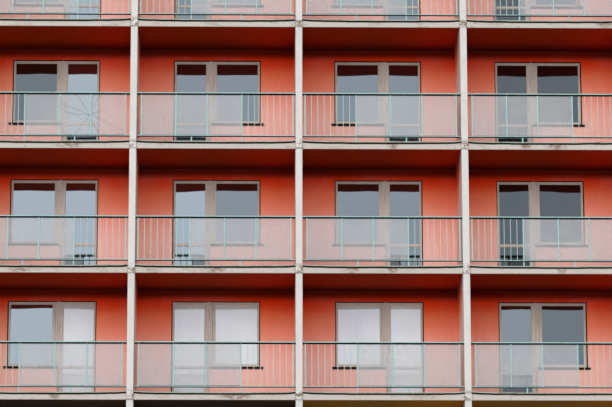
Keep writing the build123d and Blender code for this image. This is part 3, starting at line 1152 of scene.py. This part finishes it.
class APARTMENT_OT_loggia_windows(bpy.types.Operator):
    """Build the balcony doors and windows of the loggias, with their panes"""

    bl_idname = "apartment.loggia_windows"
    bl_label = "Loggia Doors and Windows"

    door_stile: length("Door stile", "Face of the balcony door's stile beside the window", 0.092)
    cover_strip: length("Cover strip", "Strip over the joint of balcony door and window", 0.040)
    cover_shift: length("Cover shift", "From that joint to the strip's middle, towards the door", 0.007)
    window_stile: length("Window stile", "Face of the window's stile beside the balcony door", 0.107)
    door_bottom: length("Door bottom rail", "Face of the balcony door's bottom rail", 0.130)
    door_rail: length("Door middle rail", "Height of the rail across the balcony door", 0.042)
    door_rail_height: length("Door rail level", "Middle of that rail above the floor", 0.911)
    # The strips beside and over the frames are dark sealant and painted shade of the reveals
    seal: length("Seal", "Width of the sealant beside the frames", 0.024)
    head_seal: length("Head seal", "Height of the sealant over the frames", 0.012)
    seal_depth: length("Seal depth", "How far the sealant stands out of the frames and lies in them", 0.006)
    handle_plate: length("Handle plate", "Width of the door handle's plate", 0.022)
    handle_grip: length("Handle grip", "Width of the door handle's grip", 0.014)

    def execute(self, context):
        door = min(LOGGIA_DOORS, key=lambda box: box[0].z)
        window = min(LOGGIA_WINDOWS, key=lambda box: box[0].z)
        self.y_front, self.depth = door[0].y, door[1].y - door[0].y
        self.head = door[1].z - FLOORS[0]
        # Places across run left from the opening's upright edge beside the cross wall, at X = 0
        joint = door[0].x - door[1].x
        far_edge = joint - (window[1].x - window[0].x)
        cover = around(joint + self.cover_shift, self.cover_strip)
        doors = self.door(joint, cover, door[0].z - FLOORS[0])
        windows = self.window(far_edge, joint, cover, window[0].z - FLOORS[0])
        kinds = (("door", doors, "balcony_doors"), ("window", windows, "loggia_windows"))
        for kind, (members, _), node in kinds:
            places = [((self.edge(bay), 0, floor), door_side(bay) < 0) for _, bay, floor in loggias()]
            settle(spread(join(members), places), f"loggia_{kind}_frames", "window_frame", node)
        panes = []
        for storey, bay, floor in loggias():
            side, edge = door_side(bay), self.edge(bay)
            for part, (_, openings) in enumerate((doors, windows)):
                for (left, right), (bottom, top) in openings:
                    x_range = (edge + side * left, edge + side * right)
                    z_range = (floor + bottom, floor + top)
                    kind = glass_kind(storey, bay, part)
                    panes.append(double_pane(x_range, z_range, self.y_front, 1, kind))
        settle(panes, "loggia_window_panes", "window_glass")
        return {"FINISHED"}

    def door(self, joint, cover, low):
        """The members and openings of a balcony door, with the cover strip on its joint to the window."""
        size = sizes()
        stile = (cover[1], joint + self.door_stile + self.cover_strip / 2 - self.cover_shift)
        uprights = [(*cover, 0.010), (*stile, 0.0), (-size.frame_strip, 0.0, 0.0)]
        rails = [
            (low, low + self.door_bottom),
            around(self.door_rail_height, self.door_rail),
            (self.head - size.frame_strip, self.head),
        ]
        members, openings = framed_lights(uprights, [rails], (low, self.head), self.y_front, self.depth)
        members += self.sealant(0, -self.seal, joint, low)
        handle_x = sum(stile) / 2
        plate_y = (self.y_front - 0.012, self.y_front)
        grip_y = (self.y_front - 0.030, plate_y[0])
        plate = around(handle_x, self.handle_plate), plate_y, (1.22, 1.40)
        grip = around(handle_x, self.handle_grip), grip_y, (1.30, 1.42)
        return members + [bar(*part, "handle_alloy", 0.002) for part in (plate, grip)], openings

    def window(self, far_edge, joint, cover, low):
        """The members and openings of the window beside the balcony door."""
        size = sizes()
        stile = cover[0] - self.window_stile
        uprights = [
            (far_edge, far_edge + size.frame_strip, 0.0),
            (stile, stile + self.window_stile / 2, 0.0),
            (stile + self.window_stile / 2 + 0.004, cover[0], 0.003),
        ]
        rails = [(low, low + size.bottom_strip), (self.head - size.frame_strip, self.head)]
        members, openings = framed_lights(uprights, [rails], (low, self.head), self.y_front, self.depth)
        return members + self.sealant(far_edge, far_edge + self.seal, joint, low), openings

    def sealant(self, edge, inner, joint, low):
        """Dark strips beside a frame and over it: sealant, and painted shade of the reveal."""
        seal_y = around(self.y_front, 2 * self.seal_depth)
        over = (self.head - self.head_seal, self.head)
        return [
            bar((edge, inner), seal_y, (low, self.head), "sealant"),
            bar((inner, joint), seal_y, over, "sealant"),
        ]

    def edge(self, bay):
        """Where a bay's opening ends beside the cross wall."""
        low, high = door_of(bay)
        return high.x if door_side(bay) > 0 else low.x


class APARTMENT_OT_sills(bpy.types.Operator):
    """Fold the sill sheets under the windows"""

    bl_idname = "apartment.sills"
    bl_label = "Window Sills"

    thickness: length("Thickness", "Height of the sheet's folded edge", 0.006)
    # The bed is a dark strip under each sill that paints the sill's shadow
    shade_bed_height: length("Bed", "How far the sooty mortar bed reaches below a sill", 0.018)
    shade_bed_reach: length("Bed reach", "How far that bed stands out of the wall", 0.030)
    shade_bed_inset: length("Bed inset", "How much shorter the bed is at each end", 0.010)
    ear: length("Ear", "How far a sill reaches past the opening", 0.070)
    tongue: length("Tongue", "How far the sheet runs into the opening", 0.085)
    tongue_rise: length("Tongue rise", "How much higher it lies there", 0.004)

    def execute(self, context):
        boxes = solid_boxes("window_sills")
        sheets = []
        for front in (True, False):
            sills = [box for box in boxes if (box[0].y < 0) == front]
            places = [
                ((middle(box).x, 0, box[1].z), front and door_side(bay_of(box)) < 0) for box in sills
            ]
            sheets += spread(self.sheet(*sills[0], front), places)
        settle(sheets, "sill_sheets", "sheet_metal", "window_sills")
        return {"FINISHED"}

    def sheet(self, low, high, front):
        """A sill about X = 0 with its top at Z = 0. One beside a balcony door on its right reaches to it."""
        half, height = (high.x - low.x) / 2, high.z - low.z
        outer, inner = (low.y, high.y) if front else (high.y, low.y)
        inwards = 1 if front else -1
        # The sill sheet's near-black brown is rust and painted shade
        metal = "rusty_sill_sheet"
        across, lower = (-half, half), (-height, -self.thickness)
        face_y = (outer, outer + inwards * (self.thickness + 0.001))
        shade_bed_x = (-half + self.shade_bed_inset, half - self.shade_bed_inset)
        shade_bed_y = (inner - inwards * self.shade_bed_reach, inner)
        tongue_x = (-half + self.ear, half if front else half - self.ear)
        return join(
            [
                bar(across, (outer, inner), (-self.thickness, 0), metal, 0.001),
                bar(across, face_y, lower, metal),
                # A dark strip under the sill paints its shadow
                bar(shade_bed_x, shade_bed_y, (lower[0] - self.shade_bed_height, lower[1]), "rusted_angle"),
                bar(tongue_x, (inner, inner + inwards * self.tongue), (0, self.tongue_rise), metal),
            ]
        )


class APARTMENT_OT_plain_windows(bpy.types.Operator):
    """Build the rear and ground storey windows: two casements each, with their panes"""

    bl_idname = "apartment.plain_windows"
    bl_label = "Rear and Ground Windows"

    meeting: length("Meeting edge", "How far the casements' stiles meet off the middle", 0.004)
    cover: length("Cover", "How far one of these stiles stands out before the other", 0.006)

    def execute(self, context):
        for node in ("rear_windows", "cellar_windows"):
            self.windows(node)
        return {"FINISHED"}

    def windows(self, node):
        kinds = ("dusk", "day", "net", "dusk", "day", "pale")
        chance = random.Random(len(node))
        boxes = solid_boxes(node)
        members, openings = self.casements(*boxes[0])
        model = join(members)
        frames, panes = [], []
        for box in boxes:
            low, high = box
            centre = middle(box)
            rear = centre.y > 0
            y_face = high.y if rear else low.y
            frames.append(copy_of(model))
            if rear:
                bpy.ops.transform.rotate(value=math.pi, orient_axis="Z", center_override=(0, 0, 0))
            bpy.ops.transform.translate(value=(centre.x, y_face, low.z))
            kind = chance.choice(kinds)
            side = -1 if rear else 1
            for (left, right), (bottom, top) in openings:
                x_range = (centre.x + side * left, centre.x + side * right)
                panes.append(double_pane(x_range, (low.z + bottom, low.z + top), y_face, side, kind))
        remove(model)
        settle(frames, f"{node}_frames", "window_frame", node)
        settle(panes, f"{node}_panes", "window_glass")

    def casements(self, low, high):
        """The members and openings of a window about X = 0, with its sill at Z = 0 and its face at Y = 0."""
        size = sizes()
        half, height = (high.x - low.x) / 2, high.z - low.z
        strip = size.frame_strip
        uprights = [
            (-half, -half + strip, 0.0),
            (-strip, -self.meeting, 0.0),
            (-self.meeting, strip, self.cover),
            (half - strip, half, 0.0),
        ]
        rails = [(0, size.bottom_strip), (height - strip, height)]
        return framed_lights(uprights, [rails, rails], (0, height), 0, high.y - low.y)


class APARTMENT_OT_entrance(bpy.types.Operator):
    """Build the entrance: a steel frame and two glazed leaves with bar handles"""

    bl_idname = "apartment.entrance"
    bl_label = "Entrance"

    stile: length("Stile", "Face of the leaves' stiles", 0.09)
    kick_plate: length("Kick plate", "Height of the sheet at the leaves' foot", 0.32)
    middle_rail: length("Middle rail", "Height of the rail across a leaf", 0.06)
    edge: length("Edge", "Rounding of the enamelled profiles", 0.003)
    clearance: length("Clearance", "Gap between the frame and the leaves", 0.002)
    rebate: length("Rebate", "How far the glass reaches into a leaf's frame", 0.01)
    glass: length("Glass", "Thickness of the glass", 0.012)
    grip: length("Grip", "Thickness of the bar handles", 0.024)
    grip_reach: length("Grip reach", "From a leaf's face to its handle", 0.03)
    bolt: length("Bolt", "Thickness of the handles' bolts", 0.016)

    def execute(self, context):
        low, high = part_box("entrance_frame")
        inner_low, inner_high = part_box("entrance_doors")
        y_range = (low.y, high.y)
        profiles = [
            ((low.x, inner_low.x - self.clearance), (low.z, high.z)),
            ((inner_high.x + self.clearance, high.x), (low.z, high.z)),
            ((inner_low.x, inner_high.x), (inner_high.z + self.clearance, high.z)),
        ]
        frame_bars = [bar(across, y_range, height, "door_enamel", self.edge) for across, height in profiles]
        settle(frame_bars, "entrance_steel_frame", "entrance_metal", "entrance_frame")
        pieces, panes = [], []
        for leaf in solid_boxes("entrance_doors"):
            pieces += self.leaf(leaf)
            pieces += self.handle(leaf, (inner_low.x + inner_high.x) / 2)
            panes.append(self.leaf_glass(leaf))
        settle(pieces, "entrance_leaves", "entrance_metal", "entrance_doors")
        settle(panes, "entrance_panes", "window_glass")
        return {"FINISHED"}

    def leaf(self, box):
        """The enamelled members of one leaf."""
        (left, right), y_range, (foot, head) = zip(*box)
        between_stiles = (left + self.stile, right - self.stile)
        members = [
            ((left, between_stiles[0]), (foot, head)),
            ((between_stiles[1], right), (foot, head)),
            (between_stiles, (foot, foot + self.kick_plate)),
            (between_stiles, (head - self.stile, head)),
            (between_stiles, around((foot + head) / 2, self.middle_rail)),
        ]
        return [bar(across, y_range, height, "door_enamel", self.edge) for across, height in members]

    def leaf_glass(self, box):
        low, high = box
        glass_x = (low.x + self.stile - self.rebate, high.x - self.stile + self.rebate)
        glass_z = (low.z + self.kick_plate - self.rebate, high.z - self.stile + self.rebate)
        return bar(glass_x, around(middle(box).y, self.glass), glass_z, "glass_dusk")

    def handle(self, box, meeting_line):
        """A bar handle beside the line where the leaves meet, on two bolts."""
        low, high = box
        side = 1 if meeting_line > middle(box).x else -1
        x = (high.x if side > 0 else low.x) - side * self.stile / 2
        face = high.y + self.grip_reach
        grip_z = (low.z + 0.85, low.z + 1.25)
        from_end = 0.03
        grip = bar(around(x, self.grip), (face, face + self.grip), grip_z, "handle_alloy", self.grip / 4)
        pieces = [grip]
        for z in (grip_z[0] + from_end, grip_z[1] - from_end):
            bolt = around(x, self.bolt), (high.y, face + 0.005), around(z, self.bolt)
            pieces.append(bar(*bolt, "handle_alloy"))
        return pieces


class APARTMENT_OT_rear_joints(bpy.types.Operator):
    """Seal the joints between the rear wall's panels"""

    bl_idname = "apartment.rear_joints"
    bl_label = "Rear Joints"

    proud: length("Proud", "How far the upright joints' sealant stands out of the wall", 0.002)
    recess: length("Recess", "How far the level joints' sealant lies behind the wall's face", 0.006)
    depth: length("Depth", "How deep the sealant reaches into the wall", 0.02)

    def execute(self, context):
        joint = sizes().panel_joint
        low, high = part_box("rear_piers_red")
        half = (high.x - low.x) / 2
        level_y = (high.y - self.depth, high.y - self.recess)
        upright_y = (high.y - self.depth, high.y + self.proud)
        pieces = []
        for bottom in (floor - SLAB for floor in FLOORS):
            if bottom > FLOORS[0]:
                pieces.append(bar((-half, half), level_y, (bottom - joint, bottom), "sealant"))
            for line in WALL_LINES[1:-1]:
                upright_z = (bottom, bottom + STOREY_HEIGHT - joint)
                pieces.append(bar(around(line, joint), upright_y, upright_z, "sealant", 0.001))
        settle(pieces, "rear_panel_joints", "concrete")
        return {"FINISHED"}


class APARTMENT_OT_coping(bpy.types.Operator):
    """Fold the parapet's coping from sheets with seams between them"""

    bl_idname = "apartment.coping"
    bl_label = "Roof Coping"

    sheet: length("Sheet", "Length of one coping sheet", 2.0)
    seam: length("Seam", "Width of the folded seam between two sheets", 0.020)
    seam_rise: length("Seam rise", "How far the seams stand out over the sheets", 0.006)
    sheet_edge: length("Sheet edge", "Rounding of the sheets' folds", 0.004)
    seam_edge: length("Seam edge", "Rounding of the seams", 0.003)

    def execute(self, context):
        low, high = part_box("roof_coping")
        depth = self.rim_width()
        inner_y = (low.y + depth, high.y - depth)
        runs = [
            (X, ((low.x, high.x), (low.y, inner_y[0]))),
            (X, ((low.x, high.x), (inner_y[1], high.y))),
            (Y, ((low.x, low.x + depth), inner_y)),
            (Y, ((high.x - depth, high.x), inner_y)),
        ]
        pieces = []
        for axis, limits in runs:
            ranges = list(limits)
            start, end = ranges[axis]
            sheets = max(1, round((end - start) / self.sheet))
            step = (end - start) / sheets
            for number in range(sheets):
                place = start + number * step
                ranges[axis] = (place, place + step)
                sheet_z = (low.z, high.z - self.seam_rise)
                pieces.append(bar(*ranges, sheet_z, "coping_zinc", self.sheet_edge))
                if number:
                    ranges[axis] = around(place, self.seam)
                    pieces.append(bar(*ranges, (low.z, high.z), "coping_zinc", self.seam_edge))
        settle(pieces, "coping_sheets", "sheet_metal", "roof_coping")
        return {"FINISHED"}

    def rim_width(self):
        """The coping's width, from the parapet's thickness and its overhang on both sides."""
        parapet_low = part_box("roof_parapet")[0]
        overhang = parapet_low.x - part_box("roof_coping")[0].x
        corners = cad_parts["roof_parapet"].data.vertices
        inner = max(corner.co.x for corner in corners if corner.co.x < 0)
        return inner - parapet_low.x + 2 * overhang


class APARTMENT_OT_stage(bpy.types.Operator):
    """Set the floor, the soft light and the camera at the photograph's viewing angle"""

    bl_idname = "apartment.stage"
    bl_label = "Stage"

    focal_length: amount("Lens", "Focal length in mm", 181.36, unit="CAMERA")
    distance: length("Distance", "From the camera to the loggias' front", 65.50)
    side_step: amount("Side", "Camera's place across", -1.104, unit="LENGTH")
    eye_height: length("Eye height", "Camera above the ground", 1.658)
    pitch: angle("Pitch", "How far the camera looks up", 13.837)
    yaw: angle("Yaw", "How far the camera looks to the right", 1.0986)
    roll: angle("Roll", "How far the camera leans", -0.0764)
    daylight: amount("Daylight", "Strength of the even light", 0.5)
    sun: amount("Sun", "Strength of the light from the street", 3.4)
    back_light: amount("Back", "Strength of the light behind", 1.2)
    floor_side: length("Floor", "Side of the square floor", 640)
    view_end: length("View end", "How far the camera sees", 1200)

    def execute(self, context):
        scene = context.scene
        scene.view_settings.view_transform = "Standard"
        self.floor()
        self.light(scene)
        self.camera(scene)
        return {"FINISHED"}

    def floor(self):
        """A pale floor that sends less light up to the block than it shows."""
        select_only()
        bpy.ops.mesh.primitive_plane_add(size=self.floor_side, location=(0, 0, 0))
        ground = bpy.context.active_object
        ground.name = "floor"
        look = Look("pale_floor", linear("#e9e7e3"), roughness=0.9)
        look.coat(linear("#8c8b88"), look.add("LightPath").outputs["Is Diffuse Ray"])
        ground.data.materials.append(look.done())

    def light(self, scene):
        """Even daylight from a sky that shows as white, and two broad lamps."""
        world = bpy.data.worlds.new("studio")
        scene.world = world
        nodes = Nodes(world)
        rays = nodes.add("LightPath").outputs
        seen = rays["Is Camera Ray"]
        for kind in ("Is Glossy Ray", "Is Transmission Ray"):
            seen = nodes.add("Math", {0: seen, 1: rays[kind]}, operation="MAXIMUM")
        strength = nodes.add("MapRange", {"Value": seen, "To Min": self.daylight, "To Max": 1.0})
        sky = nodes.add("Background", {"Color": linear("#fbfcff"), "Strength": strength})
        nodes.add("OutputWorld", {"Surface": sky})
        self.lamp("soft_sun", self.sun, 84, (83, 0, -11))
        self.lamp("soft_back_light", self.back_light, 60, (62, 0, 160))

    def lamp(self, name, strength, width, turn):
        """A broad distant lamp, with its angles in degrees, that glass doesn't mirror."""
        select_only()
        bpy.ops.object.light_add(type="SUN", location=(0, 0, 60))
        made = bpy.context.active_object
        made.name = name
        made.data.energy = strength
        made.data.angle = math.radians(width)
        made.rotation_euler = [math.radians(degrees) for degrees in turn]
        made.visible_glossy = False

    def camera(self, scene):
        """The camera on the street, turned by its pitch, yaw and roll."""
        select_only()
        bpy.ops.object.camera_add()
        eye = bpy.context.active_object
        eye.name = "street_camera"
        eye.data.sensor_width = 36
        eye.data.lens = self.focal_length
        eye.data.clip_start = 0.5
        eye.data.clip_end = self.view_end
        ahead = math.cos(self.pitch)
        forward = Vector((math.sin(self.yaw) * ahead, math.cos(self.yaw) * ahead, math.sin(self.pitch)))
        level = forward.cross(Vector((0, 0, 1))).normalized()
        upright = level.cross(forward)
        right = math.cos(self.roll) * level + math.sin(self.roll) * upright
        up = math.cos(self.roll) * upright - math.sin(self.roll) * level
        turn = Matrix((right, up, -forward)).transposed().to_4x4()
        place = Vector((self.side_step, FRONT - self.distance, self.eye_height))
        eye.matrix_world = Matrix.Translation(place) @ turn
        scene.camera = eye


class APARTMENT_PT_sidebar(bpy.types.Panel):
    """Lists the pieces of the apartment block with their sizes and colours"""

    bl_idname = "APARTMENT_PT_sidebar"
    bl_label = "Apartment Block"
    bl_space_type = "VIEW_3D"
    bl_region_type = "UI"
    bl_category = "Apartment Block"

    def draw(self, context):
        for group in (context.scene.block_sizes, context.scene.block_colours):
            box = self.layout.box()
            for name in group.__annotations__:
                box.prop(group, name)
        for operator in OPERATORS:
            self.layout.operator(operator.bl_idname)


OPERATORS = (
    APARTMENT_OT_carried_walls,
    APARTMENT_OT_cross_walls,
    APARTMENT_OT_gables,
    APARTMENT_OT_loggia_slabs,
    APARTMENT_OT_drip_strips,
    APARTMENT_OT_railings,
    APARTMENT_OT_railing_panels,
    APARTMENT_OT_loggia_windows,
    APARTMENT_OT_sills,
    APARTMENT_OT_plain_windows,
    APARTMENT_OT_entrance,
    APARTMENT_OT_rear_joints,
    APARTMENT_OT_coping,
    APARTMENT_OT_stage,
)
CLASSES = (BlockSizes, BlockColours, *OPERATORS, APARTMENT_PT_sidebar)


def register():
    for cls in CLASSES:
        bpy.utils.register_class(cls)
    bpy.types.Scene.block_sizes = bpy.props.PointerProperty(type=BlockSizes)
    bpy.types.Scene.block_colours = bpy.props.PointerProperty(type=BlockColours)


def unregister():
    del bpy.types.Scene.block_colours
    del bpy.types.Scene.block_sizes
    for cls in reversed(CLASSES):
        bpy.utils.unregister_class(cls)


def main():
    register()
    for operator in OPERATORS:
        name = operator.bl_idname.split(".")[1]
        getattr(bpy.ops.apartment, name)()


if __name__ == "__main__":
    main()
